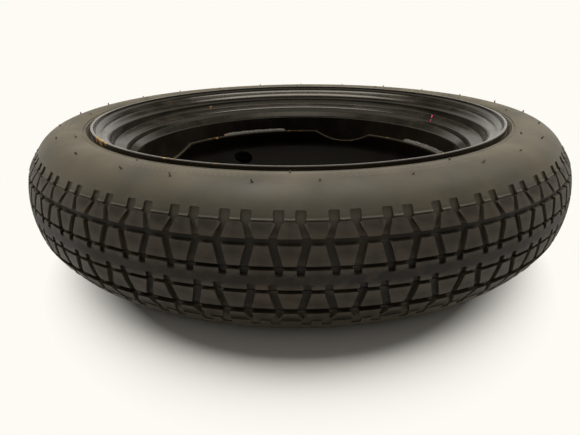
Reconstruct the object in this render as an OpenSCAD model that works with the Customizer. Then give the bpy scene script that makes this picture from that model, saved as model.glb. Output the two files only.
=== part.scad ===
// Space saver spare wheel: a narrow temporary tyre on a rolled and pressed steel wheel.
// The wheel lies flat with its hub side up. The origin is the wheel's centre, +Z points
// to the hub side along the wheel's axis, and sections are drawn as [radius, height].

/* [Tyre] */
// Height of the tyre's section, from the bead seats to the middle of the crown
section_h = 85.1; // [83:0.1:87]
// Widest width of the inflated tyre
section_w = 125; // [124:0.5:128]
// Height of the sidewall's widest point above the bead seats
widest_h = 38.7; // [37:0.1:41]
// Distance that each sidewall stands out beyond the rim's flange face
wall_bulge = 11.7; // [11:0.1:12.2]
// Radius of the sidewall's curve in section
wall_curve = 38; // [37:0.5:40]
// Thickness of the sidewall
wall_t = 6; // [5:0.25:7]
// Thickness of the tyre at the middle of the crown, grooves included
crown_t = 10.4; // [10:0.2:12]
// Radius of the crown's curve in section
crown_curve = 98; // [90:1:110]
// Half the width of the tread between its two shoulder ridges
tread_half = 40.7; // [40:0.1:42]
// Height of the thin ridge along each shoulder
ridge_h = 0.7; // [0.4:0.1:1.2]
// Height of the outer centring rib above the rim's flange
rib_over_rim = 8.4; // [7.4:0.2:9.8]

/* [Tread pattern] */
// Number of pattern repeats round the tyre
pitches = 48; // [40:1:54]
// Depth of the four ring grooves
ring_depth = 4; // [3:0.1:4.4]
// Depth of the slanted grooves
slant_depth = 3.5; // [2.5:0.1:3.8]
// Width of the two outer ring grooves
outer_ring_w = 5.2; // [3:0.2:6]
// Width of the two inner ring grooves
inner_ring_w = 3.2; // [2:0.2:4]
// Distance of the outer ring grooves from the middle
outer_ring_z = 27; // [25:0.5:29]
// Distance of the inner ring grooves from the middle
inner_ring_z = 9.2; // [8:0.2:11]
// Half the gap between a pair of slanted grooves where they come close together
pair_near = 7.6; // [7:0.1:8]
// Half the gap between a pair of slanted grooves where they stand wide apart
pair_wide = 12.3; // [11.5:0.1:13]
// Width of the slanted grooves at the outer ring groove
slant_w = 6.2; // [4:0.2:6.4]
// Width of the slanted grooves where they run into a scoop
gate_w = 4.2; // [3:0.2:5.4]
// Width of the slanted grooves at the middle rib
notch_w = 6.5; // [5:0.25:7.5]
// Distance from the middle at which the notches in the middle rib end
notch_end = 3.2; // [1.5:0.1:4]
// Width of the scoops over the shoulder
scoop_w = 7.8; // [6.4:0.2:8.6]
// Length of a scoop inside the shoulder ridge
scoop_in = 2.6; // [2:0.2:4]
// Length of a scoop outside the shoulder ridge
scoop_out = 5.2; // [4:0.2:6.4]
// Depth of the scoops
scoop_depth = 1.9; // [1:0.1:2.5]
// Turn of the pattern on the hub side, from +X
pattern_turn = -91.1; // [-180:0.1:180]

/* [Rim] */
// Radius of the bead seats at the heel
bead_r = 218.3; // [218:0.1:219]
// Flat height of each flange between its heel and its curl
flange_flat = 1.3; // [0.8:0.1:2]
// Radius of the flange's curl on the tyre side
curl_r = 9.5; // [8.5:0.25:10]
// Width of each flange's edge beyond its curl
lip_edge = 2; // [0.5:0.1:2]
// Radius between a flange and its bead seat
heel_r = 6.5; // [5.5:0.25:7]
// Thickness of the rim's sheet
rim_t = 2.8; // [2.2:0.1:3.2]
// Width of each bead seat, from the flange to the hump
seat_w = 20; // [19:0.25:21]
// Slope of the bead seats in degrees
seat_slope = 5; // [3:0.5:6]
// Depth of the well below the bead seats
well_depth = 21; // [20:0.1:22]
// Distance from the hub side's hump to the well's edge
well_in_hub = 12.7; // [11.6:0.1:13.8]
// Distance from the face side's hump to the well's edge
well_in_face = 16.2; // [15.2:0.1:17.2]

/* [Wheel disc] */
// Thickness of the disc's sheet
disc_t = 3.8; // [3.2:0.1:4.5]
// Distance of the hub face from the wheel's middle plane
hub_offset = 40; // [37:0.5:42]
// Radius of the centre bore
bore_r = 32.55; // [28:0.05:36]
// Height of the disc's welded edge
edge_z = -2; // [-4:0.25:0]
// Height of the disc's bend below its edge
bend_z = -27; // [-28:0.5:-26]
// Height of the disc's crown, its outermost ring
crown_z = -50.5; // [-52:0.25:-49]
// Radius of the flat hub area
hub_r = 94; // [90:1:97]
// Width of the slope from the hub area out to the crown
hub_slope_w = 28; // [25:1:31]
// Width of the crown's flat ring
crown_w = 28; // [24:1:31]
// Number of scallops, welds and hand holes
lands = 4; // [3:1:5]
// Turn of the first scallop, from +X
scallop_turn = 68; // [0:1:90]
// Width of a scallop at the disc's edge
scallop_w = 86; // [60:1:95]
// Depth of a scallop
scallop_depth = 13.5; // [8:0.5:15]
// Radius of the hand holes
hand_hole_r = 14; // [10:0.5:16]
// Place of the hand holes on the disc's slope, from the crown at 0 to the edge at 1
hand_place = 0.59; // [0.45:0.01:0.61]
// Turn of the first hand hole, from +X
hand_turn = 29.3; // [20:0.1:34]

/* [Wheel bolts] */
// Number of bolt holes
bolts = 5; // [4:1:6]
// Diameter of the bolt circle
bolt_circle = 110; // [98:0.5:120]
// Radius of a bolt hole
bolt_r = 7.5; // [6:0.25:8]
// Radius of the cone that a bolt seats in
cone_r = 10.2; // [9.2:0.1:11]
// Height of the pressed seat round a bolt hole
seat_boss_h = 3; // [2:0.25:4]

/* [Welds] */
// Length of a weld in degrees
weld_span = 30; // [20:1:36]
// Turn of the first weld, from +X
weld_turn = 111; // [90:1:130]
// Leg of the weld's section
weld_leg = 4.2; // [3:0.1:5]

/* [Valve] */
// Turn of the valve, from +X
valve_turn = 248; // [0:1:360]
// Radius of the valve hole
valve_hole_r = 5.75; // [5.6:0.05:6]
// Length of the rubber body outside the rim
valve_out = 16; // [14:0.5:17]
// Distance that the rubber body's bulb spreads beyond the valve hole
bulb_over = 1.65; // [1.2:0.05:1.85]
// Distance that the rubber button inside the rim spreads beyond the valve hole
button_over = 3.25; // [2.4:0.05:3.6]
// Radius of the brass stem
stem_r = 3.85; // [3.7:0.05:4]
// Length of bare stem beyond the rubber
stem_bare = 8; // [7:0.25:9]
// Distance from the stem to the outside of the valve cap
cap_wall = 1.15; // [1:0.05:1.5]
// Gap between the valve cap's foot and the rubber body
cap_rise = 0.5; // [0.3:0.1:2]
// Radius of the core's pin
pin_r = 0.6; // [0.5:0.05:0.7]
// Number of turns of the core's spring
spring_turns = 6; // [4:1:8]

/* [Fits] */
// Gap between the tyre's beads and the rim
bead_gap = 0.1; // [0.05:0.05:0.2]
// Gap between parts pressed or welded together
seat_gap = 0.05; // [0.02:0.01:0.1]
// Gap between parts that slide
slide_gap = 0.2; // [0.15:0.05:0.3]

/* [Hidden] */
round_fn = 192;
small_fn = 48;

// A point of an arc, and an arc as a list of points
function on_arc(c, r, a) = [c[0] + r * cos(a), c[1] + r * sin(a)];
function arc(c, r, from, to, steps) =
    [for (i = [0:steps]) on_arc(c, r, from + (to - from) * i / steps)];
function unit(v) = v / norm(v);
function flip_z(points) = [for (p = points) [p[0], -p[1]]];
function backwards(list) = [for (i = [len(list) - 1:-1:0]) list[i]];

// The corner at b between a and c, rounded to radius r
function corner(a, b, c, r, steps) =
    let (u = unit(a - b), v = unit(c - b), half = acos(u * v) / 2,
         mid = b + unit(u + v) * r / sin(half),
         from = b + u * r / tan(half) - mid, to = b + v * r / tan(half) - mid,
         turn = atan2(from[0] * to[1] - from[1] * to[0], from * to),
         start = atan2(from[1], from[0]))
    arc(mid, r, start, start + turn, steps);

// A path of [radius, height, corner radius], with its inner corners rounded
function rounded(path, steps) =
    [for (i = [0:len(path) - 1])
        let (p = [path[i][0], path[i][1]])
        each (i == 0 || i == len(path) - 1 || path[i][2] == 0) ? [p] :
            corner([path[i - 1][0], path[i - 1][1]], p, [path[i + 1][0], path[i + 1][1]],
                   path[i][2], steps)];

// The path moved sideways by d, to the right of its direction
function moved(path, d) =
    [for (i = [0:len(path) - 1])
        let (u = unit(path[min(i + 1, len(path) - 1)] - path[min(i, len(path) - 2)]),
             v = unit(path[max(i, 1)] - path[max(i - 1, 0)]),
             n = unit([u[1] + v[1], -u[0] - v[0]]),
             stretch = n * [u[1], -u[0]])
        path[i] + n * d / stretch];

// Sheet metal between a path and the same path moved by t
function sheet(path, t) = concat(path, backwards(moved(path, t)));

// Rim: the side towards the tyre, from the lip on the hub side to the lip on the face side
rim_w = section_w - 2 * wall_bulge;
flange_z = rim_w / 2;
lip_z = flange_z + curl_r + lip_edge;
lip_r = bead_r + heel_r + flange_flat + curl_r;
curl_mid = [lip_r - curl_r, flange_z + curl_r];
heel_mid = [bead_r + heel_r, flange_z - heel_r];
hump_z = flange_z - seat_w;
function seat_at(z) = bead_r - (heel_mid[1] - z) * tan(seat_slope);
hump_r = seat_at(hump_z);
hump_h = 0.8;
well_r = bead_r - well_depth;
well_top = hump_z - well_in_hub;
well_bottom = well_in_face - hump_z;
face_slope_z = 2 - hump_z;
flange_side = concat([[lip_r, lip_z]], arc(curl_mid, curl_r, 0, -90, 6),
                     arc(heel_mid, heel_r, 90, 180, 5));
// The sheet climbs over a low hump at the end of each seat before it drops into the well
function hump(side) =
    [[seat_at(hump_z + 2.6), side * (hump_z + 2.6), 0], [hump_r + hump_h, side * (hump_z + 1), 4]];
hub_side_well = concat(hump(1),
    [[hump_r, hump_z - 1.6, 4], [hump_r - 6.9, hump_z - 8.7, 4],
     [well_r + 2.4, well_top, 1.5], [well_r, well_top - 3.3, 0]]);
face_side_well = concat(
    [[well_r, well_bottom + 4, 0], [well_r, well_bottom, 6], [hump_r, face_slope_z, 4]],
    backwards(hump(-1)));
rim_path = concat(flange_side, rounded(hub_side_well, 4), rounded(face_side_well, 5),
                  backwards(flip_z(flange_side)));

// Tyre: outer half section, from the crown to the bead toe
crown_r = bead_r + section_h;
side_mid = [bead_r + widest_h, section_w / 2 - wall_curve];
crown_mid = [crown_r - crown_curve, 0];
outer_ring_end = outer_ring_z + outer_ring_w / 2;
function crown_at(z) = crown_mid[0] + sqrt(crown_curve * crown_curve - z * z);
side_start = asin((tread_half - side_mid[1]) / wall_curve);
ridge_r = side_mid[0] + wall_curve * cos(side_start) + 0.4;
function between(a, b, x) = a + (b - a) * x;
// The shoulder falls away faster than the crown: a curve from the outer ring groove to the ridge
function shoulder_at(z) =
    let (x = (z - outer_ring_end) / (tread_half - outer_ring_end))
    between(crown_at(outer_ring_end), ridge_r, x)
    + (crown_at(outer_ring_end) - ridge_r) * 0.32 * x * (1 - x);
function tread_at(z) = z <= outer_ring_end ? crown_at(z) : shoulder_at(z);

ring_draft = 0.7;
function ring_groove(z, w) =
    [[tread_at(z - w / 2), z - w / 2], [tread_at(z - w / 2) - ring_depth, z - w / 2 + ring_draft],
     [tread_at(z + w / 2) - ring_depth, z + w / 2 - ring_draft], [tread_at(z + w / 2), z + w / 2]];
tread_points = concat(
    [[crown_r, 0]], ring_groove(inner_ring_z, inner_ring_w),
    ring_groove(outer_ring_z, outer_ring_w),
    [for (x = [0.5, 0.95])
        let (z = between(outer_ring_end, tread_half, x)) [tread_at(z), z]],
    [[ridge_r + ridge_h, tread_half - 0.2], [ridge_r + ridge_h * 0.7, tread_half + 0.6]]);

rib_r = lip_r + rib_over_rim;
rib_from = acos((rib_r - side_mid[0]) / wall_curve);
rib_h = 0.8;
rib_w = 2;
rib_pitch = 3;
function sidewall_z(r) = side_mid[1] + sqrt(wall_curve * wall_curve - pow(r - side_mid[0], 2));
function centring_rib(r) =
    [[r + rib_w / 2, sidewall_z(r + rib_w / 2)], [r + rib_w / 4, sidewall_z(r) + rib_h],
     [r - rib_w / 4, sidewall_z(r) + rib_h], [r - rib_w / 2, sidewall_z(r - rib_w / 2)]];
contact = -50;
bead_curl = arc(curl_mid, curl_r + bead_gap, contact, -90, 3);
bead_heel = arc(heel_mid, heel_r - bead_gap, 90, 180, 5);
toe_z = hump_z + 2.8;
toe_r = seat_at(toe_z) + bead_gap;
wall_foot_r = rib_r - rib_pitch - rib_w;
lower_wall = [[wall_foot_r, sidewall_z(wall_foot_r) - 0.3],
              [curl_mid[0] + curl_r + 0.7, curl_mid[1] - 6.3], bead_curl[0] + [0.6, 0.35]];
outer_side = concat(
    [for (i = [1:9]) on_arc(side_mid, wall_curve,
                            between(side_start, rib_from, i / 9.8))],
    centring_rib(rib_r), centring_rib(rib_r - rib_pitch),
    lower_wall, bead_curl, bead_heel, [[toe_r, toe_z]]);

// Tyre: the air chamber, from the bead toe to the crown
inner_curve = wall_curve - wall_t;
inner_crown_curve = crown_curve + 5;
inner_top_z = side_mid[1] + inner_curve * sin(side_start);
inner_crown_mid = [crown_r - crown_t - inner_crown_curve, 0];
inner_side = concat(
    [[toe_r + 1.2, toe_z - 0.6], [toe_r + 6.5, toe_z + 2.5], [toe_r + 15, toe_z + 12]],
    arc(side_mid, inner_curve, rib_from + 5, side_start, 8),
    [for (z = [0.75, 0.5, 0.25] * inner_top_z)
        [inner_crown_mid[0] + sqrt(inner_crown_curve * inner_crown_curve - z * z), z]]);
tyre_half = concat(tread_points, outer_side, inner_side);
tyre_outline = concat(tyre_half, [[crown_r - crown_t, 0]],
                      backwards(flip_z([for (i = [1:len(tyre_half) - 1]) tyre_half[i]])));

// The floors of the cuts, as [radius, height], where each cut starts and ends
notch_floor = crown_r - slant_depth;
inner_floor = [tread_at(inner_ring_z) - slant_depth, inner_ring_z];
outer_floor = [tread_at(outer_ring_z) - slant_depth, outer_ring_z];
scoop_from = tread_half - scoop_in;
scoop_to = tread_half + scoop_out;
scoop_floor = [side_mid[0] + sqrt(pow(wall_curve, 2) - pow(scoop_to - side_mid[1], 2))
               - scoop_depth, scoop_to];

// A cut with a flat floor from one floor point to the next; outline is [across, height]
module tread_cut(from, to, outline) {
    lean = atan2(from[0] - to[0], to[1] - from[1]);
    translate([from[0], 0, from[1]])
        rotate([0, -lean, 0])
            rotate([90, 0, 90])
                linear_extrude(crown_r - to[0] + 4)
                    polygon([for (p = outline) [p[0], (p[1] - from[1]) / cos(lean)]]);
}

// One zigzag groove: a notch in the middle rib, a slanted groove and a shoulder scoop
scoop_round = 1.3;
notch_side = notch_w / 2;
slant_side = slant_w / 2;
gate_side = gate_w / 2;
scoop_side = scoop_w / 2;
notch_outline = [[-notch_side, inner_ring_z], [-notch_side * 0.7, notch_end],
                 [notch_side * 0.7, notch_end], [notch_side, inner_ring_z]];
module zigzag(side) {
    near = side * pair_near;
    wide = side * pair_wide;
    tread_cut([notch_floor, 0], [notch_floor, inner_ring_z],
              [for (p = notch_outline) [p[0] + near, p[1]]]);
    tread_cut(inner_floor, outer_floor,
              [[near - notch_side, inner_ring_z], [near + notch_side, inner_ring_z],
               [wide + slant_side, outer_ring_z], [wide - slant_side, outer_ring_z]]);
    tread_cut(outer_floor, scoop_floor,
              [[wide - slant_side, outer_ring_z], [wide + slant_side, outer_ring_z],
               [near + gate_side, scoop_from - 1], [near + scoop_side, scoop_from],
               [near + scoop_side, scoop_to - scoop_round],
               [near + scoop_side - scoop_round, scoop_to],
               [near - scoop_side + scoop_round, scoop_to],
               [near - scoop_side, scoop_to - scoop_round],
               [near - scoop_side, scoop_from], [near - gate_side, scoop_from - 1]]);
}

module pattern_cuts() {
    for (i = [0:pitches - 1], side = [-1, 1]) {
        rotate([0, 0, pattern_turn + i * 360 / pitches])
            zigzag(side);
        rotate([0, 0, pattern_turn + (i + 0.5) * 360 / pitches])
            mirror([0, 0, 1])
                zigzag(side);
    }
}

module tyre() {
    color([0.13, 0.125, 0.115])
        difference() {
            rotate_extrude($fn = round_fn)
                polygon(tyre_outline);
            pattern_cuts();
        }
}

// Valve: its axis stands square on the sloping wall of the well, on the face side
wall_dir = unit([hump_r - well_r, face_slope_z - well_bottom]);
wall_mid = ([well_r, well_bottom] + [hump_r, face_slope_z]) / 2 + moved_in();
function moved_in() = [wall_dir[1], -wall_dir[0]] * rim_t;
valve_lean = atan2(-wall_dir[1], wall_dir[0]);

// Lays a child that stands on +Z along the valve's axis, with +Z pointing out of the rim
module at_valve() {
    rotate([0, 0, valve_turn])
        translate([wall_mid[0], 0, wall_mid[1]])
            rotate([0, 180 + valve_lean, 0])
                children();
}

module rim() {
    color([0.05, 0.05, 0.052])
        difference() {
            rotate_extrude($fn = round_fn)
                polygon(sheet(rim_path, rim_t));
            at_valve()
                translate([0, 0, -2 * rim_t])
                    cylinder(h = 4 * rim_t, r = valve_hole_r, $fn = small_fn);
        }
}

// Wheel disc: middle line of the sheet, from the welded edge to the centre bore
edge_out_r = well_r - rim_t - seat_gap;
edge_mid_r = edge_out_r - disc_t / 2;
crown_in_r = hub_r + hub_slope_w;
crown_out_r = crown_in_r + crown_w;
hub_face_z = -hub_offset;
hub_mid_z = hub_face_z - disc_t / 2;
disc_path = [[edge_mid_r, edge_z, 0], [edge_mid_r, bend_z, 12], [crown_out_r, crown_z, 18],
             [crown_in_r, crown_z, 16], [hub_r, hub_mid_z, 14], [bore_r, hub_mid_z, 0]];
slope_drop = (bend_z - crown_z) / (edge_mid_r - crown_out_r);
hand_ring_r = between(crown_out_r, edge_mid_r, hand_place);
hand_hole_z = between(crown_z, bend_z, hand_place);

module scallop() {
    scallop_curve = (pow(scallop_w / 2, 2) + pow(scallop_depth, 2)) / (2 * scallop_depth);
    half = asin(scallop_w / 2 / scallop_curve);
    bottom = arc([0, edge_z - scallop_depth + scallop_curve], scallop_curve,
                 -90 - half, -90 + half, 12);
    translate([edge_mid_r - 12, 0, 0])
        rotate([90, 0, 90])
            linear_extrude(24)
                polygon(concat(bottom, [[scallop_w / 2 + 6, edge_z + 8],
                                        [-scallop_w / 2 - 6, edge_z + 8]]));
}

module bolt_seat() {
    rotate_extrude($fn = small_fn)
        polygon([[bolt_r - 2, 0.5], [cone_r + 5, 0.5], [cone_r + 3.2, -seat_boss_h],
                 [bolt_r - 2, -seat_boss_h]]);
}

module bolt_hole() {
    through = disc_t + seat_boss_h;
    cone_depth = (cone_r - bolt_r) / tan(30) + 1.1;
    translate([0, 0, -through - 1])
        cylinder(h = through + 2, r = bolt_r, $fn = small_fn);
    translate([0, 0, -through - 1])
        cylinder(h = cone_depth, r1 = cone_r + tan(30), r2 = cone_r + tan(30) - cone_depth * tan(30),
                 $fn = small_fn);
}

module each_bolt() {
    for (i = [0:bolts - 1])
        rotate([0, 0, i * 360 / bolts])
            translate([bolt_circle / 2, 0, 0])
                children();
}

module wheel_disc() {
    color([0.045, 0.045, 0.047])
        difference() {
            union() {
                rotate_extrude($fn = round_fn)
                    polygon(sheet(moved(rounded(disc_path, 6), -disc_t / 2), disc_t));
                translate([0, 0, hub_face_z - disc_t])
                    each_bolt()
                        bolt_seat();
            }
            for (i = [0:lands - 1]) {
                rotate([0, 0, scallop_turn + i * 360 / lands])
                    scallop();
                rotate([0, 0, hand_turn + i * 360 / lands])
                    translate([hand_ring_r, 0, hand_hole_z])
                        rotate([0, -atan(slope_drop), 0])
                            translate([0, 0, -15])
                                cylinder(h = 30, r = hand_hole_r, $fn = small_fn);
            }
            translate([0, 0, hub_face_z])
                each_bolt()
                    bolt_hole();
        }
}

module disc_welds() {
    wall = edge_out_r;
    base = edge_z + seat_gap;
    bulge = arc([wall, base], weld_leg, 180, 90, 5);
    color([0.3, 0.29, 0.28])
        for (i = [0:lands - 1])
            rotate([0, 0, weld_turn + i * 360 / lands - weld_span / 2])
                rotate_extrude(angle = weld_span, $fn = round_fn)
                    polygon(concat([[wall, base]], bulge));
}

// Valve sections: [radius, height along the valve's axis], with 0 on the rim's bare side
inside = -rim_t;
rubber_end = valve_out;
stem_end = valve_out + stem_bare;
stem_foot = inside - 6.5;
hold_r = stem_r + 0.35;
cap_r = stem_r + cap_wall;
bulb_r = valve_hole_r + bulb_over;
button_r = valve_hole_r + button_over;
core_hole_r = 2.5;
air_hole_r = 1.6;
gasket_z = 6;

module valve_body() {
    color([0.03, 0.03, 0.03])
        at_valve()
            rotate_extrude($fn = small_fn)
                polygon([[hold_r + seat_gap, stem_foot], [button_r - 2.5, stem_foot],
                         [button_r, inside - 2.6], [button_r, inside - seat_gap],
                         [valve_hole_r - seat_gap, inside - seat_gap],
                         [valve_hole_r - seat_gap, seat_gap], [bulb_r, seat_gap],
                         [bulb_r, 1.6], [bulb_r - 1.2, 5], [stem_r + 1.9, rubber_end - 2],
                         [stem_r + 1.2, rubber_end], [stem_r + seat_gap, rubber_end],
                         [stem_r + seat_gap, rubber_end - 3],
                         [hold_r + seat_gap, rubber_end - 3.4]]);
}

module valve_stem() {
    color([0.72, 0.58, 0.3])
        at_valve()
            rotate_extrude($fn = small_fn)
                polygon([[air_hole_r, stem_foot], [hold_r, stem_foot],
                         [hold_r, rubber_end - 3.4], [stem_r, rubber_end - 3],
                         [stem_r, stem_end - 0.6], [stem_r - 0.5, stem_end],
                         [core_hole_r, stem_end], [core_hole_r, gasket_z + 2.2],
                         [core_hole_r - 0.5, gasket_z], [core_hole_r - 0.5, gasket_z - 4],
                         [air_hole_r, gasket_z - 5]]);
}

// Core: a barrel that screws into the stem, with a sprung pin through it
core_top = stem_end - 0.8;
core_foot = gasket_z - 1.5;
core_r = core_hole_r - seat_gap;
collar_r = 1.35;
chamber_r = collar_r + slide_gap;
chamber_top = core_top - 2.5;
chamber_foot = gasket_z + 3;
pin_hole_r = pin_r + slide_gap;
pin_collar_top = chamber_top - 0.1;
pin_collar_h = 1;
seal_h = 1.4;

module valve_core_body() {
    color([0.75, 0.6, 0.32])
        at_valve()
            rotate_extrude($fn = small_fn)
                polygon([[pin_hole_r, core_foot], [core_r - 0.9, core_foot],
                         [core_r - 0.9, gasket_z + 2], [core_r, gasket_z + 3],
                         [core_r, core_top - 3], [core_r - 0.8, core_top - 2.4],
                         [core_r - 0.8, core_top], [pin_hole_r, core_top],
                         [pin_hole_r, chamber_top], [chamber_r, chamber_top],
                         [chamber_r, chamber_foot], [pin_hole_r, chamber_foot]]);
}

module valve_core_gasket() {
    color([0.75, 0.2, 0.12])
        at_valve()
            rotate_extrude($fn = small_fn)
                polygon([[core_r - 0.9 + seat_gap, gasket_z - 1],
                         [core_hole_r - 0.5 - seat_gap, gasket_z - 1],
                         [core_hole_r - 0.5 - seat_gap, gasket_z],
                         [core_hole_r - seat_gap * 2, gasket_z + 2],
                         [core_r - 0.9 + seat_gap, gasket_z + 2 - seat_gap]]);
}

module valve_pin() {
    tip = stem_end - 0.3;
    foot = core_foot - seal_h - 0.6;
    color([0.78, 0.64, 0.36])
        at_valve()
            rotate_extrude($fn = small_fn)
                polygon([[0, foot], [pin_r, foot], [pin_r, pin_collar_top - pin_collar_h],
                         [collar_r, pin_collar_top - pin_collar_h],
                         [collar_r, pin_collar_top], [pin_r, pin_collar_top],
                         [pin_r, tip - 0.3], [pin_r - 0.25, tip], [0, tip]]);
}

module valve_pin_seal() {
    top = core_foot - 0.05;
    color([0.08, 0.08, 0.08])
        at_valve()
            rotate_extrude($fn = small_fn)
                polygon([[pin_r + seat_gap, top - seal_h], [core_r - 1.1, top - seal_h],
                         [core_r - 0.9, top - seal_h + 0.3], [core_r - 0.9, top],
                         [pin_r + seat_gap, top]]);
}

// Core spring: a wire wound round the pin, between the chamber's foot and the pin's collar
wire_r = 0.14;
coil_r = (pin_r + chamber_r) / 2;
coil_low = chamber_foot + wire_r + seat_gap;
coil_high = pin_collar_top - pin_collar_h - wire_r - seat_gap;
coil_sides = 6;
coil_steps = 14;
coil_points = [for (i = [0:spring_turns * coil_steps])
    let (a = i * 360 / coil_steps,
         z = between(coil_low, coil_high, i / (spring_turns * coil_steps)))
    for (k = [0:coil_sides - 1])
        let (b = k * 360 / coil_sides, r = coil_r + wire_r * cos(b))
        [r * cos(a), r * sin(a), z + wire_r * sin(b)]];
coil_rings = len(coil_points) / coil_sides;
function ring_side(i, k) = i * coil_sides + k % coil_sides;
coil_faces = concat(
    [[for (k = [0:coil_sides - 1]) k]],
    [for (i = [0:coil_rings - 2], k = [0:coil_sides - 1])
        each [[ring_side(i, k), ring_side(i + 1, k), ring_side(i + 1, k + 1)],
              [ring_side(i, k), ring_side(i + 1, k + 1), ring_side(i, k + 1)]]],
    [[for (k = [coil_sides - 1:-1:0]) (coil_rings - 1) * coil_sides + k]]);

module valve_spring() {
    color([0.6, 0.6, 0.62])
        at_valve()
            polyhedron(coil_points, coil_faces);
}

cap_foot = rubber_end + cap_rise;
cap_inside = stem_end + 0.6;

module valve_cap() {
    color([0.03, 0.03, 0.03])
        at_valve()
            rotate_extrude($fn = small_fn)
                polygon([[stem_r + slide_gap, cap_foot], [cap_r - 0.2, cap_foot],
                         [cap_r, cap_foot + 0.3], [cap_r, stem_end - 2],
                         [cap_r - 1.1, stem_end + 1.1], [cap_r - 1.6, stem_end + 1.6],
                         [0, stem_end + 1.6], [0, cap_inside],
                         [stem_r - 0.3, cap_inside], [stem_r + slide_gap, stem_end - 0.7]]);
}

module valve_cap_seal() {
    color([0.2, 0.2, 0.2])
        at_valve()
            rotate_extrude($fn = small_fn)
                polygon([[pin_r + 0.6, stem_end + seat_gap], [stem_r - 0.6, stem_end + seat_gap],
                         [stem_r - 0.6, cap_inside - seat_gap],
                         [pin_r + 0.6, cap_inside - seat_gap]]);
}

tyre();
rim();
wheel_disc();
disc_welds();
valve_body();
valve_stem();
valve_core_body();
valve_core_gasket();
valve_pin();
valve_pin_seal();
valve_spring();
valve_cap();
valve_cap_seal();
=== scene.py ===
import math
import random

import bmesh
import bpy
from mathutils import Matrix, Vector


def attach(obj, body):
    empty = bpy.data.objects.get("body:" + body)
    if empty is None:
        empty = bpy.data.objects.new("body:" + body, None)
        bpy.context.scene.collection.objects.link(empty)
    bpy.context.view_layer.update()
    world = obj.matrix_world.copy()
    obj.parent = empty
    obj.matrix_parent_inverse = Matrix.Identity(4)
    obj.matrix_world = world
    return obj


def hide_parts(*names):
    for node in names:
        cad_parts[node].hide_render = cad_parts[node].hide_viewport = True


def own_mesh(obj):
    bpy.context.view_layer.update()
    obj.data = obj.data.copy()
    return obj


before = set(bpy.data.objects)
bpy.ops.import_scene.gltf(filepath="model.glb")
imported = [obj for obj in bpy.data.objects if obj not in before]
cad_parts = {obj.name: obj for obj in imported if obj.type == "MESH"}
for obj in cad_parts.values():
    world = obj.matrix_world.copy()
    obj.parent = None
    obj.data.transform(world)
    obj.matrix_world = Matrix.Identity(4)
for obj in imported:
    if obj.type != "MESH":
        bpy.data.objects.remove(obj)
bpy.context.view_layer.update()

random.seed(17)

# ---------------------------------------------------------------- sizes, in millimetres
MM = 0.001
CROWN_R = 303.4
FLOOR_Z = -62.65
WALL_MID = (257.0, 24.5)
WALL_CURVE = 38.0
CROWN_CURVE = 98.0
TREAD_HALF = 40.7
RIDGE_H = 0.7
RIB_R = 244.0
RIB_PITCH = 3.0
PITCHES = 48
RING_DEPTH = 4.0
SLANT_DEPTH = 3.5
OUTER_RING_W = 5.2
INNER_RING_W = 3.2
OUTER_RING_Z = 27.0
INNER_RING_Z = 9.2
PAIR_NEAR = 7.6
PAIR_WIDE = 12.3
SLANT_W = 6.2
GATE_W = 4.2
NOTCH_W = 6.5
NOTCH_END = 3.2
SCOOP_W = 7.8
SCOOP_FROM = 38.1
SCOOP_TO = 45.9
SCOOP_DEPTH = 1.9
PATTERN_TURN = -91.1

BEAD_R = 218.3
FLANGE_Z = 50.8
FLANGE_H = 17.3
CURL_R = 9.5
LIP_W = 11.5
HEEL_R = 6.5
RIM_T = 2.8
SEAT_W = 20.0
SEAT_SLOPE = math.tan(math.radians(5))
WELL_DEPTH = 21.0
WELL_BOTTOM = -14.6
HUMP_H = 0.8
BEAD_GAP = 0.1

DISC_T = 3.8
HUB_FACE_Z = -40.0
BORE_R = 32.55
EDGE_Z = -2.0
BEND_Z = -27.0
CROWN_Z = -50.5
CROWN_OUT_R = 150.0
CROWN_IN_R = 122.0
HUB_R = 94.0
SCALLOP_TURN = 68.0
SCALLOP_W = 86.0
SCALLOP_DEPTH = 13.5
HAND_HOLE_R = 14.0
HAND_PLACE = 0.59
HAND_TURN = 29.3
BOLTS = 5
BOLT_RING_R = 55.0
BOLT_R = 7.5
CONE_R = 10.2
SEAT_BOSS_H = 3.0

WELD_TURN = 111.0
WELD_SPAN = 30.0
WELD_LEG = 4.2

# Scallops, welds and hand holes each stand four times round the disc
LANDS = 4
LAND_STEP = 360 / LANDS

VALVE_TURN = 248.0
VALVE_HOLE_R = 5.75
VALVE_OUT = 16.0
STEM_R = 3.85
STEM_END = VALVE_OUT + 8.0
PIN_TRAVEL = 1.5
SEAT_GAP = 0.05

# Radii of the well's outside and of its bare side, of the disc's edge and of its sheet's middle
WELL_R = BEAD_R - WELL_DEPTH
WELL_BARE_R = WELL_R - RIM_T
DISC_EDGE_R = WELL_BARE_R - SEAT_GAP
DISC_EDGE_MID = DISC_EDGE_R - DISC_T / 2
DISC_SLOPE = (BEND_Z - CROWN_Z) / (DISC_EDGE_MID - CROWN_OUT_R)


# ---------------------------------------------------------------- section drawing
def on_arc(centre, radius, degrees):
    a = math.radians(degrees)
    return (centre[0] + radius * math.cos(a), centre[1] + radius * math.sin(a))


def arc(centre, radius, start, end, steps):
    return [on_arc(centre, radius, start + (end - start) * i / steps) for i in range(steps + 1)]


def between(a, b, x):
    return a + (b - a) * x


def circle(radius, count):
    """Points round a circle; the count is even."""
    turns = [k * math.pi / (count // 2) for k in range(count)]
    return [(radius * math.cos(turn), radius * math.sin(turn)) for turn in turns]


def flip_z(points):
    return [(r, -z) for r, z in points]


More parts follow.
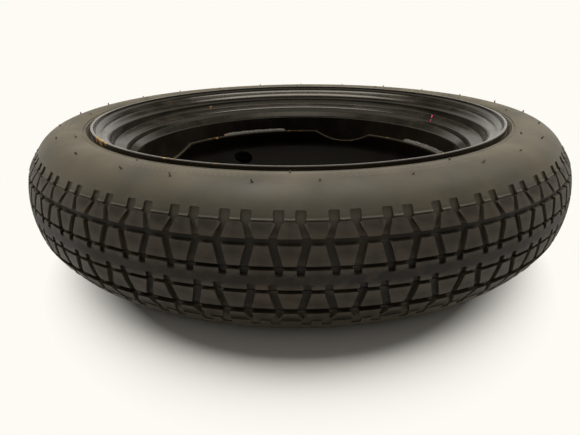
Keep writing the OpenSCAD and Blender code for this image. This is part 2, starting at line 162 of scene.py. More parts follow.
def rounded(path, steps):
    """The path of (radius, height, corner radius) with its inner corners rounded."""
    made = []
    for i, (r, z, corner) in enumerate(path):
        here = Vector((r, z))
        if i in (0, len(path) - 1) or corner == 0:
            made.append((r, z))
            continue
        u = (Vector(path[i - 1][:2]) - here).normalized()
        v = (Vector(path[i + 1][:2]) - here).normalized()
        half = math.acos(max(-1, min(1, u.dot(v)))) / 2
        middle = here + (u + v).normalized() * corner / math.sin(half)
        first = here + u * corner / math.tan(half) - middle
        last = here + v * corner / math.tan(half) - middle
        turn = math.degrees(math.atan2(first.x * last.y - first.y * last.x, first.dot(last)))
        start = math.degrees(math.atan2(first.y, first.x))
        made += arc(middle, corner, start, start + turn, steps)
    return made


def moved(path, distance):
    """The path moved sideways, to the right of its direction."""
    made = []
    for i, point in enumerate(path):
        p = Vector(point)
        after = Vector(path[min(i + 1, len(path) - 1)]) - Vector(path[min(i, len(path) - 2)])
        before = Vector(path[max(i, 1)]) - Vector(path[max(i - 1, 0)])
        u, v = after.normalized(), before.normalized()
        n = Vector((u.y + v.y, -u.x - v.x)).normalized()
        q = p + n * distance / n.dot(Vector((u.y, -u.x)))
        made.append((q.x, q.y))
    return made


def spaced(path, longest):
    """The path with extra points, so that no straight stretch is longer than the given length."""
    made = [path[0]]
    for a, b in zip(path, path[1:]):
        count = max(1, math.ceil(math.dist(a, b) / longest))
        made += [(a[0] + (b[0] - a[0]) * k / count, a[1] + (b[1] - a[1]) * k / count)
                 for k in range(1, count + 1)]
    return made


# ---------------------------------------------------------------- modelling helpers
def deselect():
    if bpy.context.object and bpy.context.object.mode != "OBJECT":
        bpy.ops.object.mode_set(mode="OBJECT")
    bpy.ops.object.select_all(action="DESELECT")


def pick(*pieces):
    deselect()
    for piece in pieces:
        piece.select_set(True)
    bpy.context.view_layer.objects.active = pieces[0]


def loop_of(points, name, place):
    """A closed loop of edges: a circle whose vertices are moved onto the drawn points."""
    deselect()
    bpy.ops.mesh.primitive_circle_add(vertices=len(points), fill_type="NOTHING")
    loop = bpy.context.object
    loop.name = name
    loop.data.name = name
    for vertex, point in zip(loop.data.vertices, points):
        vertex.co = place(point)
    return loop


def spin_selected(piece, steps, degrees, copies=False):
    pick(piece)
    bpy.ops.object.mode_set(mode="EDIT")
    bpy.ops.mesh.select_all(action="SELECT")
    bpy.ops.mesh.spin(steps=steps, dupli=copies, angle=math.radians(degrees),
                      center=(0, 0, 0), axis=(0, 0, -1))
    bpy.ops.object.mode_set(mode="OBJECT")


def fill_loop(loop):
    pick(loop)
    bpy.ops.object.mode_set(mode="EDIT")
    bpy.ops.mesh.select_all(action="SELECT")
    bpy.ops.mesh.edge_face_add()
    bpy.ops.object.mode_set(mode="OBJECT")


def face_outwards(piece):
    pick(piece)
    bpy.ops.object.mode_set(mode="EDIT")
    bpy.ops.mesh.select_all(action="SELECT")
    bpy.ops.mesh.normals_make_consistent(inside=False)
    bpy.ops.object.mode_set(mode="OBJECT")


def weld_points(piece, distance=0.01):
    """Points closer than the distance become one, and loose points and edges go."""
    pick(piece)
    bpy.ops.object.mode_set(mode="EDIT")
    bpy.ops.mesh.select_all(action="SELECT")
    bpy.ops.mesh.remove_doubles(threshold=distance * MM)
    bpy.ops.mesh.delete_loose(use_verts=True, use_edges=True, use_faces=False)
    bpy.ops.object.mode_set(mode="OBJECT")
    face_outwards(piece)


def in_section(point):
    """A point of a section, (radius, height), on the plane through +X."""
    return Vector((point[0] * MM, 0, point[1] * MM))


def revolved(points, name, steps):
    """A closed section spun once round the wheel's axis."""
    piece = loop_of(points, name, in_section)
    spin_selected(piece, steps, 360)
    weld_points(piece)
    return piece


def prism(outline, name, depth, matrix):
    """A flat outline extruded by depth along its own +Z, then placed by the matrix."""
    piece = loop_of(outline, name, lambda p: Vector((p[0] * MM, p[1] * MM, 0)))
    pick(piece)
    bpy.ops.object.mode_set(mode="EDIT")
    bpy.ops.mesh.select_all(action="SELECT")
    bpy.ops.mesh.edge_face_add()
    bpy.ops.mesh.extrude_region_move(TRANSFORM_OT_translate={"value": (0, 0, depth * MM)})
    bpy.ops.object.mode_set(mode="OBJECT")
    face_outwards(piece)
    piece.data.transform(matrix)
    return piece


def joined(pieces, name):
    pick(*pieces)
    bpy.ops.object.join()
    whole = bpy.context.object
    whole.name = name
    whole.data.name = name
    return whole


def apply_modifier(piece, kind, name, **settings):
    modifier = piece.modifiers.new(name, kind)
    for key, value in settings.items():
        setattr(modifier, key, value)
    pick(piece)
    bpy.ops.object.modifier_apply(modifier=modifier.name)


def cut(piece, cutter):
    apply_modifier(piece, "BOOLEAN", "cut", operation="DIFFERENCE", solver="EXACT",
                   object=cutter)
    bpy.data.objects.remove(cutter)


def fuse(piece, other):
    apply_modifier(piece, "BOOLEAN", "fuse", operation="UNION", solver="EXACT", object=other)
    bpy.data.objects.remove(other)


def smooth(piece, degrees=32):
    pick(piece)
    bpy.ops.object.shade_smooth_by_angle(angle=math.radians(degrees))


def turned(x, y, z):
    """The matrix that turns about X, then Y, then Z, in degrees."""
    return (Matrix.Rotation(math.radians(z), 4, "Z") @ Matrix.Rotation(math.radians(y), 4, "Y")
            @ Matrix.Rotation(math.radians(x), 4, "X"))


def shifted(x, y, z):
    return Matrix.Translation((x * MM, y * MM, z * MM))


# ---------------------------------------------------------------- node helpers
def named(node, **values):
    for key, value in values.items():
        node.inputs[key].default_value = value
    return node


def new_group(name, inputs, outputs):
    group = bpy.data.node_groups.new(name, "ShaderNodeTree")
    for label, kind, value in inputs:
        socket = group.interface.new_socket(label, in_out="INPUT", socket_type=kind)
        if value is not None:
            socket.default_value = value
    for label, kind in outputs:
        group.interface.new_socket(label, in_out="OUTPUT", socket_type=kind)
    return group, group.nodes.new("NodeGroupInput"), group.nodes.new("NodeGroupOutput")


def maths(tree, operation, a, b=None, clamp=False):
    node = tree.nodes.new("ShaderNodeMath")
    node.operation = operation
    node.use_clamp = clamp
    for i, value in enumerate((a, b)):
        if value is None:
            continue
        if isinstance(value, (int, float)):
            node.inputs[i].default_value = value
        else:
            tree.links.new(value, node.inputs[i])
    return node.outputs[0]


def noise(tree, vector, scale, detail=4.0, roughness=0.55):
    node = named(tree.nodes.new("ShaderNodeTexNoise"), Scale=scale, Detail=detail,
                 Roughness=roughness)
    tree.links.new(vector, node.inputs["Vector"])
    return node.outputs["Fac"]


def ranged(tree, value, low, high, to_low=0.0, to_high=1.0):
    node = tree.nodes.new("ShaderNodeMapRange")
    node.clamp = True
    named(node, **{"From Min": low, "From Max": high, "To Min": to_low, "To Max": to_high})
    tree.links.new(value, node.inputs["Value"])
    return node.outputs["Result"]


def mixed(tree, mask, a, b):
    node = tree.nodes.new("ShaderNodeMix")
    node.data_type = "RGBA"
    sockets = [s for s in node.inputs if s.name in ("Factor", "A", "B") and s.enabled]
    for socket, value in zip(sockets, (mask, a, b)):
        if isinstance(value, (int, float)):
            socket.default_value = value
        elif isinstance(value, tuple):
            socket.default_value = (*value, 1.0)
        else:
            tree.links.new(value, socket)
    return [s for s in node.outputs if s.enabled][0]


def bumped(tree, height, strength, distance):
    node = named(tree.nodes.new("ShaderNodeBump"), Strength=strength, Distance=distance)
    tree.links.new(height, node.inputs["Height"])
    return node.outputs["Normal"]


# Grain: a fine and a coarse noise, for a surface that isn't quite even
grain_group, g_in, g_out = new_group(
    "Grain", [("Vector", "NodeSocketVector", None), ("Fine", "NodeSocketFloat", 900.0),
              ("Coarse", "NodeSocketFloat", 40.0)],
    [("Height", "NodeSocketFloat"), ("Patches", "NodeSocketFloat")])
fine_noise = grain_group.nodes.new("ShaderNodeTexNoise")
coarse_noise = grain_group.nodes.new("ShaderNodeTexNoise")
for noise_node, scale_name, detail in ((fine_noise, "Fine", 3.0), (coarse_noise, "Coarse", 5.0)):
    noise_node.inputs["Detail"].default_value = detail
    grain_group.links.new(g_in.outputs["Vector"], noise_node.inputs["Vector"])
    grain_group.links.new(g_in.outputs[scale_name], noise_node.inputs["Scale"])
grain_group.links.new(fine_noise.outputs["Fac"], g_out.inputs["Height"])
grain_group.links.new(coarse_noise.outputs["Fac"], g_out.inputs["Patches"])

# Pointy edges: a mask along edges that stand out, from the mesh's own pointiness; it places edge
# wear, and on the disc's outer edge a painted highlight as well
edge_group, g_in, g_out = new_group(
    "Pointy edges", [("Low", "NodeSocketFloat", 0.52), ("High", "NodeSocketFloat", 0.6)],
    [("Mask", "NodeSocketFloat")])
geometry_node = edge_group.nodes.new("ShaderNodeNewGeometry")
edge_range = edge_group.nodes.new("ShaderNodeMapRange")
edge_group.links.new(geometry_node.outputs["Pointiness"], edge_range.inputs["Value"])
edge_group.links.new(g_in.outputs["Low"], edge_range.inputs["From Min"])
edge_group.links.new(g_in.outputs["High"], edge_range.inputs["From Max"])
edge_group.links.new(edge_range.outputs["Result"], g_out.inputs["Mask"])

# Dust: a mask that lies on faces that look up, broken up by noise
dust_group, g_in, g_out = new_group(
    "Dust", [("Vector", "NodeSocketVector", None), ("Scale", "NodeSocketFloat", 30.0),
             ("Upward", "NodeSocketFloat", 1.0)],
    [("Mask", "NodeSocketFloat")])
dust_noise = dust_group.nodes.new("ShaderNodeTexNoise")
dust_noise.inputs["Detail"].default_value = 6.0
dust_group.links.new(g_in.outputs["Vector"], dust_noise.inputs["Vector"])
dust_group.links.new(g_in.outputs["Scale"], dust_noise.inputs["Scale"])
dust_geometry = dust_group.nodes.new("ShaderNodeNewGeometry")
dust_split = dust_group.nodes.new("ShaderNodeSeparateXYZ")
dust_group.links.new(dust_geometry.outputs["Normal"], dust_split.inputs["Vector"])
dust_up = maths(dust_group, "MULTIPLY", dust_split.outputs["Z"], g_in.outputs["Upward"], clamp=True)
dust_patch = ranged(dust_group, dust_noise.outputs["Fac"], 0.35, 0.7)
dust_group.links.new(maths(dust_group, "MULTIPLY", dust_up, dust_patch), g_out.inputs["Mask"])


def material_start(name, roughness, metallic=0.0, specular=0.5):
    material = bpy.data.materials.new(name)
    material.use_nodes = True
    tree = material.node_tree
    shader = tree.nodes["Principled BSDF"]
    shader.inputs["Roughness"].default_value = roughness
    shader.inputs["Metallic"].default_value = metallic
    shader.inputs["Specular IOR Level"].default_value = specular
    place = tree.nodes.new("ShaderNodeTexCoord").outputs["Object"]
    return material, tree, shader, place


def group_node(tree, group, **values):
    node = tree.nodes.new("ShaderNodeGroup")
    node.node_tree = group
    return named(node, **values)


def grain(tree, place, fine, coarse):
    node = group_node(tree, grain_group, Fine=fine, Coarse=coarse)
    tree.links.new(place, node.inputs["Vector"])
    return node.outputs["Height"], node.outputs["Patches"]


def pointy_edges(tree, low, high):
    return group_node(tree, edge_group, Low=low, High=high).outputs["Mask"]


def dust(tree, place, scale, upward):
    node = group_node(tree, dust_group, Scale=scale, Upward=upward)
    tree.links.new(place, node.inputs["Vector"])
    return node.outputs["Mask"]


def spots(tree, place, marks, ragged):
    """One mask for several spots, each (azimuth, radius, height, size), with ragged edges."""
    edge = noise(tree, place, 260.0, 5.0, 0.7)
    whole = None
    for azimuth, radius, height, size in marks:
        a = math.radians(azimuth)
        node = tree.nodes.new("ShaderNodeVectorMath")
        node.operation = "DISTANCE"
        tree.links.new(place, node.inputs[0])
        node.inputs[1].default_value = (radius * math.cos(a) * MM, radius * math.sin(a) * MM,
                                        height * MM)
        far = maths(tree, "DIVIDE", node.outputs["Value"], size * MM)
        far = maths(tree, "ADD", far, maths(tree, "MULTIPLY", edge, ragged))
        mask = ranged(tree, far, 0.75 + ragged * 0.5, 1.0 + ragged * 0.5, 1.0, 0.0)
        whole = mask if whole is None else maths(tree, "MAXIMUM", whole, mask)
    return whole


def ring_coordinates(tree, place):
    """The distance from the wheel's axis, and the height, as two sockets."""
    split = tree.nodes.new("ShaderNodeSeparateXYZ")
    tree.links.new(place, split.inputs["Vector"])
    square = maths(tree, "ADD", maths(tree, "MULTIPLY", split.outputs["X"], split.outputs["X"]),
                   maths(tree, "MULTIPLY", split.outputs["Y"], split.outputs["Y"]))
    return maths(tree, "SQRT", square), split.outputs["Z"]


# Tones of the finishes, dark and light, as (red, green, blue)
WALL_TONES = ((0.052, 0.045, 0.031), (0.075, 0.065, 0.044))
# The tread's tones sit well below the sidewall's: partly the rubber's own tone, partly painted
# shade for the tread's face, which the light reaches less
TREAD_TONES_WITH_PAINTED_SHADE = ((0.0105, 0.0085, 0.0062), (0.019, 0.015, 0.0105))
TREAD_SCUFF = (0.056, 0.038, 0.023)
TREAD_EDGE = (0.12, 0.1, 0.075)
PAINT_TONES = ((0.010, 0.0082, 0.006), (0.018, 0.0145, 0.0105))
# Pale edge tone: worn paint, and on the disc's outer edge a painted highlight too
PAINT_EDGE_WEAR_AND_HIGHLIGHT = (0.17, 0.135, 0.095)
PAINT_SPECK = (0.2, 0.17, 0.13)
GREY_DUST = (0.15, 0.125, 0.09)
PALE_DUST = (0.24, 0.2, 0.128)
WELD_TONES = ((0.02, 0.018, 0.016), (0.075, 0.068, 0.058))
WELD_EDGE = (0.3, 0.28, 0.25)
RUST = (0.12, 0.055, 0.018)
PAINT_RUST = (0.55, 0.33, 0.11)
WELD_RUST = (0.5, 0.23, 0.06)

# Radii in metres: where the sidewall turns to tread, the tread's worn top, and the disc's rim
TREAD_FROM, TREAD_TO = 0.2895, 0.2935
WORN_FROM, WORN_TO = 0.2965, 0.3015
DISC_RIM_FROM, DISC_RIM_TO = 0.186, 0.189


def share(tree, mask, amount):
    return maths(tree, "MULTIPLY", mask, amount)


def tyre_material():
    material, tree, shader, place = material_start("aged_tyre_rubber", 0.62, specular=0.42)
    height, patches = grain(tree, place, 1400.0, 22.0)
    radius = ring_coordinates(tree, place)[0]
    on_tread = ranged(tree, radius, TREAD_FROM, TREAD_TO)
    wall = mixed(tree, ranged(tree, patches, 0.35, 0.65), *WALL_TONES)
    # The tread's tones: darker partly as painted shade
    tread = mixed(tree, ranged(tree, patches, 0.4, 0.65), *TREAD_TONES_WITH_PAINTED_SHADE)
    colour = mixed(tree, on_tread, wall, tread)
    worn_top = ranged(tree, radius, WORN_FROM, WORN_TO)
    scuffs = ranged(tree, noise(tree, place, 75.0, 6.0, 0.65), 0.5, 0.72)
    scuffed = maths(tree, "MULTIPLY", scuffs, worn_top)
    colour = mixed(tree, share(tree, scuffed, 0.55), colour, TREAD_SCUFF)
    colour = mixed(tree, share(tree, pointy_edges(tree, 0.51, 0.57), 0.45), colour, TREAD_EDGE)
    colour = mixed(tree, share(tree, dust(tree, place, 26.0, 0.75), 0.3), colour, PALE_DUST)
    tree.links.new(colour, shader.inputs["Base Color"])
    tree.links.new(maths(tree, "SUBTRACT", 0.42, share(tree, on_tread, 0.2)),
                   shader.inputs["Specular IOR Level"])
    tree.links.new(ranged(tree, patches, 0.3, 0.7, 0.52, 0.72), shader.inputs["Roughness"])
    tree.links.new(bumped(tree, height, 0.25, 0.0004), shader.inputs["Normal"])
    return material


def paint_material(name, marks, dusty, gloss, worn):
    """Black paint on pressed steel, with faint flow marks, dust, worn edges and rust spots; a low
    gloss also darkens its tones as painted shade, and on the disc the pale edge line is a painted
    highlight as well as wear.
    """
    material, tree, shader, place = material_start(name, 0.18, specular=0.5 * gloss)
    shader.inputs["Specular Tint"].default_value = (1.0, 0.93, 0.8, 1.0)
    height, patches = grain(tree, place, 240.0, 30.0)
    # A low gloss darkens the tones too: painted shade, for the disc, which lies in the shade inside
    # the wheel
    depth = between(0.2, 1.0, gloss)
    dark, light = (tuple(part * depth for part in tone) for tone in PAINT_TONES)
    colour = mixed(tree, ranged(tree, patches, 0.4, 0.65), dark, light)
    haze = share(tree, dust(tree, place, 45.0, 0.9), dusty)
    colour = mixed(tree, haze, colour, GREY_DUST)
    # Pale edges: wear on the rim; on the disc only its outer edge, where the pale line is a painted
    # highlight as well as wear
    at_rim = ranged(tree, ring_coordinates(tree, place)[0], DISC_RIM_FROM, DISC_RIM_TO, 0.0, worn)
    bare = maths(tree, "MULTIPLY", pointy_edges(tree, 0.51, 0.56), at_rim)
    colour = mixed(tree, bare, colour, PAINT_EDGE_WEAR_AND_HIGHLIGHT)
    specks = ranged(tree, noise(tree, place, 700.0, 2.0, 0.5), 0.7, 0.78)
    colour = mixed(tree, share(tree, specks, 0.35 * gloss), colour, PAINT_SPECK)
    satin = ranged(tree, patches, 0.3, 0.7, 0.46 - 0.32 * gloss, 0.62 - 0.43 * gloss)
    roughness = maths(tree, "ADD", satin, share(tree, haze, 0.5))
    rusty = spots(tree, place, marks, 0.8)
    rust_patches = ranged(tree, noise(tree, place, 420.0), 0.35, 0.65)
    colour = mixed(tree, rusty, colour, mixed(tree, rust_patches, RUST, PAINT_RUST))
    roughness = maths(tree, "ADD", roughness, share(tree, rusty, 0.5), clamp=True)
    tree.links.new(colour, shader.inputs["Base Color"])
    tree.links.new(roughness, shader.inputs["Roughness"])
    tree.links.new(bumped(tree, height, 0.08, 0.0006), shader.inputs["Normal"])
    return material


def weld_material(marks):
    material, tree, shader, place = material_start("painted_weld_metal", 0.4)
    height, patches = grain(tree, place, 900.0, 160.0)
    colour = mixed(tree, ranged(tree, patches, 0.4, 0.6), *WELD_TONES)
    colour = mixed(tree, share(tree, pointy_edges(tree, 0.5, 0.56), 0.7), colour, WELD_EDGE)
    rust_tone = mixed(tree, noise(tree, place, 700.0), RUST, WELD_RUST)
    colour = mixed(tree, spots(tree, place, marks, 0.8), colour, rust_tone)
    tree.links.new(colour, shader.inputs["Base Color"])
    tree.links.new(ranged(tree, patches, 0.3, 0.7, 0.3, 0.6), shader.inputs["Roughness"])
    tree.links.new(bumped(tree, height, 0.4, 0.0005), shader.inputs["Normal"])
    return material


def plain_material(name, dark, light, roughness, fine, metallic=0.0):
    """A moulded or turned finish: two close tones in patches, with a fine grain."""
    material, tree, shader, place = material_start(name, roughness, metallic)
    height, patches = grain(tree, place, fine, 120.0)
    colour = mixed(tree, ranged(tree, patches, 0.35, 0.65), dark, light)
    worn_tone = tuple(min(1.0, part * 1.8 + 0.05) for part in light)
    colour = mixed(tree, share(tree, pointy_edges(tree, 0.52, 0.6), 0.3), colour, worn_tone)
    tree.links.new(colour, shader.inputs["Base Color"])
    tree.links.new(ranged(tree, patches, 0.3, 0.7, roughness * 0.85, roughness * 1.15),
                   shader.inputs["Roughness"])
    tree.links.new(bumped(tree, height, 0.2, 0.0002), shader.inputs["Normal"])
    return material


def give(piece, material):
    piece.data.materials.clear()
    piece.data.materials.append(material)


def dress(piece, material, body, node=None):
    """The piece gets its material and its moving body, and may stand for a CAD node, which is then
    hidden.
    """
    give(piece, material)
    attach(piece, body)
    if node:
        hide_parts(node)


# ---------------------------------------------------------------- tyre
def crown_at(z):
    return CROWN_R - CROWN_CURVE + math.sqrt(CROWN_CURVE ** 2 - z * z)


OUTER_RING_END = OUTER_RING_Z + OUTER_RING_W / 2
SIDE_START = math.degrees(math.asin((TREAD_HALF - WALL_MID[1]) / WALL_CURVE))
RIDGE_R = WALL_MID[0] + WALL_CURVE * math.cos(math.radians(SIDE_START)) + 0.4


def tread_at(z):
    if z <= OUTER_RING_END:
        return crown_at(z)
    x = (z - OUTER_RING_END) / (TREAD_HALF - OUTER_RING_END)
    edge = crown_at(OUTER_RING_END)
    return between(edge, RIDGE_R, x) + (edge - RIDGE_R) * 0.32 * x * (1 - x)


def sidewall_z(r):
    return WALL_MID[1] + math.sqrt(WALL_CURVE ** 2 - (r - WALL_MID[0]) ** 2)


def ring_groove(z, w):
    return [(tread_at(z - w / 2), z - w / 2), (tread_at(z - w / 2) - RING_DEPTH, z - w / 2 + 0.7),
            (tread_at(z + w / 2) - RING_DEPTH, z + w / 2 - 0.7), (tread_at(z + w / 2), z + w / 2)]


def centring_rib(r):
    rise, width = 0.8, 2.0
    foot, shoulder, level = width / 2, width * 0.3, sidewall_z(r)
    return [(r + foot, sidewall_z(r + foot)), (r + shoulder, level + rise * 0.8),
            (r, level + rise), (r - shoulder, level + rise * 0.8),
            (r - foot, sidewall_z(r - foot))]


def seat_at(z):
    return BEAD_R - (FLANGE_Z - HEEL_R - z) * SEAT_SLOPE


CURL_MID = (BEAD_R + FLANGE_H - CURL_R, FLANGE_Z + CURL_R)
HEEL_MID = (BEAD_R + HEEL_R, FLANGE_Z - HEEL_R)
HUMP_Z = FLANGE_Z - SEAT_W


def tyre_half_outline():
    """The upper half of the tyre's section, from the middle of the tread to the inner crown."""
    tread = [(crown_at(z), z) for z in (0, 2.2, 5.2)]
    tread += ring_groove(INNER_RING_Z, INNER_RING_W)
    tread += [(tread_at(z), z) for z in (14.8, 20.2)]
    tread += ring_groove(OUTER_RING_Z, OUTER_RING_W)
    tread += [(tread_at(z), z) for z in (32.4, 36.0, 39.2)]
    tread += [(RIDGE_R + 0.05, TREAD_HALF - 0.7), (RIDGE_R + RIDGE_H, TREAD_HALF - 0.3),
              (RIDGE_R + RIDGE_H * 0.9, TREAD_HALF + 0.25), (RIDGE_R - 0.6, TREAD_HALF + 0.75)]
    rib_from = math.degrees(math.acos((RIB_R - WALL_MID[0]) / WALL_CURVE))
    wall = [on_arc(WALL_MID, WALL_CURVE, between(SIDE_START + 2.5, rib_from - 2.5, i / 14))
            for i in range(15)]
    foot_r = RIB_R - RIB_PITCH - 2
    bead_curl = arc(CURL_MID, CURL_R + BEAD_GAP, -50, -90, 4)
    lower = [(foot_r + 0.3, sidewall_z(foot_r) + 0.1), (foot_r - 0.5, sidewall_z(foot_r) - 1.2),
             (CURL_MID[0] + CURL_R + 0.7, CURL_MID[1] - 6.3),
             (bead_curl[0][0] + 0.6, bead_curl[0][1] + 0.35)]
    toe_z = HEEL_MID[1] - 5.1
    toe_r = seat_at(toe_z) + BEAD_GAP
    heel = arc(HEEL_MID, HEEL_R - BEAD_GAP, 90, 180, 4) + [(toe_r, toe_z)]
    chamber_curve = WALL_CURVE - 6
    inside_curve, crown_t = 103.0, 10.4
    inner = [(toe_r + 1.2, toe_z - 0.6), (toe_r + 6.5, toe_z + 2.5), (toe_r + 15, toe_z + 12)]
    inner += arc(WALL_MID, chamber_curve, rib_from + 5, SIDE_START, 6)
    inner += [(CROWN_R - crown_t - inside_curve + math.sqrt(inside_curve ** 2 - z * z), z)
              for z in (28, 14, 0)]
    return (tread + wall + centring_rib(RIB_R) + centring_rib(RIB_R - RIB_PITCH) + lower
            + bead_curl + heel + inner)


def tread_cutter(start, end, outline):
    """A prism with a flat floor from one floor point to the next; outline is (across, height)."""
    lean = math.degrees(math.atan2(start[0] - end[0], end[1] - start[1]))
    flat = [(across, (z - start[1]) / math.cos(math.radians(lean))) for across, z in outline]
    place = shifted(start[0], 0, start[1]) @ turned(0, -lean, 0) @ turned(90, 0, 90)
    return prism(flat, "tread_cutter", CROWN_R - end[0] + 4, place)


def zigzag_cutters(side):
    near, wide = side * PAIR_NEAR, side * PAIR_WIDE
    notch, slant, gate, scoop = NOTCH_W / 2, SLANT_W / 2, GATE_W / 2, SCOOP_W / 2
    corner_r = 1.3
    middle_floor = CROWN_R - SLANT_DEPTH
    inner_floor = (tread_at(INNER_RING_Z) - SLANT_DEPTH, INNER_RING_Z)
    outer_floor = (tread_at(OUTER_RING_Z) - SLANT_DEPTH, OUTER_RING_Z)
    scoop_floor = (WALL_MID[0] + math.sqrt(WALL_CURVE ** 2 - (SCOOP_TO - WALL_MID[1]) ** 2)
                   - SCOOP_DEPTH, SCOOP_TO)
    bend = [(math.sin(math.radians(a)), math.cos(math.radians(a))) for a in (0, 30, 60, 90)]
    corner = [(corner_r * (1 - sine), corner_r * (1 - cosine)) for sine, cosine in bend]
    right = [(near + scoop - dx, SCOOP_TO - dz) for dz, dx in corner]
    left = [(near - scoop + dx, SCOOP_TO - dz) for dx, dz in corner]
    return [
        tread_cutter((middle_floor, 0), (middle_floor, INNER_RING_Z),
                     [(near - notch, INNER_RING_Z), (near - notch * 0.85, NOTCH_END + 1.2),
                      (near - notch * 0.55, NOTCH_END), (near + notch * 0.55, NOTCH_END),
                      (near + notch * 0.85, NOTCH_END + 1.2), (near + notch, INNER_RING_Z)]),
        tread_cutter(inner_floor, outer_floor,
                     [(near - notch, INNER_RING_Z), (near + notch, INNER_RING_Z),
                      (wide + slant, OUTER_RING_Z), (wide - slant, OUTER_RING_Z)]),
        tread_cutter(outer_floor, scoop_floor,
                     [(wide - slant, OUTER_RING_Z), (wide + slant, OUTER_RING_Z),
                      (near + gate, SCOOP_FROM - 1), (near + scoop, SCOOP_FROM)]
                     + right + left
                     + [(near - scoop, SCOOP_FROM), (near - gate, SCOOP_FROM - 1)]),
    ]


def tyre_sector():
    """One repeat of the tread on the hub side: a wedge of the tyre's upper half, cut."""
    outline = tyre_half_outline()
    half_pitch = 180 / PITCHES
    turn = Matrix.Rotation(math.radians(-half_pitch), 4, "Z")
    sector = loop_of(outline, "tyre_sector", lambda p: turn @ in_section(p))
    fill_loop(sector)
    spin_selected(sector, 6, 360 / PITCHES)
    weld_points(sector, 0.001)
    shell = bmesh.new()
    shell.from_mesh(sector.data)
    if shell.calc_volume(signed=True) < 0:
        bmesh.ops.reverse_faces(shell, faces=shell.faces)
    shell.to_mesh(sector.data)
    shell.free()
    for side in (-1, 1):
        for cutter in zigzag_cutters(side):
            cut(sector, cutter)
    return sector


def open_sector(sector):
    """Takes away the flat ends and the middle plane, where the next repeats join on."""
    work = bmesh.new()
    work.from_mesh(sector.data)
    half_pitch = math.radians(180 / PITCHES)
    turn_slack, height_slack = 1e-5, 1e-7
    gone = []
    for face in work.faces:
        angles = [math.atan2(v.co.y, v.co.x) for v in face.verts]
        at_end = (all(abs(a - half_pitch) < turn_slack for a in angles)
                  or all(abs(a + half_pitch) < turn_slack for a in angles))
        at_middle = all(abs(v.co.z) < height_slack for v in face.verts)
        if at_end or at_middle:
            gone.append(face)
    bmesh.ops.delete(work, geom=gone, context="FACES")
    work.to_mesh(sector.data)
    work.free()


SOFTENED_FROM = 284.5
SHARP_EDGE = math.radians(38)


def soften_tread(sector, width):
    """Rounds the edges of the blocks, grooves, scoops and shoulder ridge."""
    pick(sector)
    bpy.ops.object.mode_set(mode="EDIT")
    bpy.ops.mesh.select_mode(type="EDGE")
    bpy.ops.mesh.select_all(action="DESELECT")
    work = bmesh.from_edit_mesh(sector.data)
    for edge in work.edges:
        outside = all(math.hypot(v.co.x, v.co.y) > SOFTENED_FROM * MM for v in edge.verts)
        sharp = len(edge.link_faces) == 2 and edge.calc_face_angle(0) > SHARP_EDGE
        edge.select_set(outside and sharp)
    bmesh.update_edit_mesh(sector.data)
    bpy.ops.mesh.bevel(offset=width * MM, segments=2, affect="EDGES", clamp_overlap=True)
    bpy.ops.object.mode_set(mode="OBJECT")


def make_tyre():
    upper = tyre_sector()
    open_sector(upper)
    soften_tread(upper, 0.45)
    upper.data.transform(Matrix.Rotation(math.radians(PATTERN_TURN), 4, "Z"))
    lower = upper.copy()
    lower.data = upper.data.copy()
    bpy.context.scene.collection.objects.link(lower)
    lower.data.transform(Matrix.Diagonal((1, 1, -1, 1)))
    lower.data.transform(Matrix.Rotation(math.radians(180 / PITCHES), 4, "Z"))
    pick(lower)
    bpy.ops.object.mode_set(mode="EDIT")
    bpy.ops.mesh.select_all(action="SELECT")
    bpy.ops.mesh.flip_normals()
    bpy.ops.object.mode_set(mode="OBJECT")
    tyre = joined([upper, lower], "tyre_body")
    spin_selected(tyre, PITCHES - 1, 360 * (PITCHES - 1) / PITCHES, copies=True)
    weld_points(tyre, 0.06)
    smooth(tyre)
    return tyre


# ---------------------------------------------------------------- rim
# The bare wall inside the hub side, from the bead seat to the well: radius, height and the
# radius of the corner on the tyre's side
HUB_WALL = [(214.7, 38.0, 3.4), (201.2, 34.0, 0.4), (200.0, 27.5, 4.3), (194.5, 20.0, 2.2)]
HUB_WALL_FOOT = (WELL_BARE_R, 8.0)
FACE_HUMP_Z = 2 - HUMP_Z


def on_hub_wall(r, z, lift):
    """The point of that bare wall nearest to the given one, lifted off it a little."""
    best = None
    bare = [(corner_r, corner_z) for corner_r, corner_z, _ in HUB_WALL] + [HUB_WALL_FOOT]
    for a, b in zip(bare, bare[1:]):
        a, b, p = Vector(a), Vector(b), Vector((r, z))
        x = max(0.0, min(1.0, (p - a).dot(b - a) / (b - a).length_squared))
        near = a + (b - a) * x
        n = Vector((b.y - a.y, a.x - b.x)).normalized()
        if best is None or (near - p).length < best[0]:
            best = ((near - p).length, near + n * lift)
    return best[1]


def rim_path():
    """The rim's side towards the tyre, from the lip on the hub side to the lip on the face side."""
    lip_r, lip_z = BEAD_R + FLANGE_H, FLANGE_Z + LIP_W
    flange = ([(lip_r, lip_z), (lip_r, lip_z - 0.6)] + arc(CURL_MID, CURL_R, 0, -90, 14)
              + arc(HEEL_MID, HEEL_R, 90, 180, 12))
    corners = ([(BEAD_R - RIM_T, HEEL_MID[1] - 0.8)] + [(r, z) for r, z, _ in HUB_WALL]
               + [HUB_WALL_FOOT])
    outside = moved(corners, -RIM_T)
    hub_side = [(*outside[0], 0)]
    hub_side += [(*place, radius) for place, (_, _, radius) in zip(outside[1:-1], HUB_WALL)]
    hub_side += [(*outside[-1], 0)]
    face_side = [(WELL_R, WELL_BOTTOM + 4, 0), (WELL_R, WELL_BOTTOM, 6),
                 (seat_at(HUMP_Z), FACE_HUMP_Z, 4), (seat_at(HUMP_Z) + HUMP_H, -(HUMP_Z + 1), 4),
                 (seat_at(HUMP_Z + 2.6), -(HUMP_Z + 2.6), 0)]
    return flange + rounded(hub_side, 7) + rounded(face_side, 7) + flip_z(flange)[::-1]


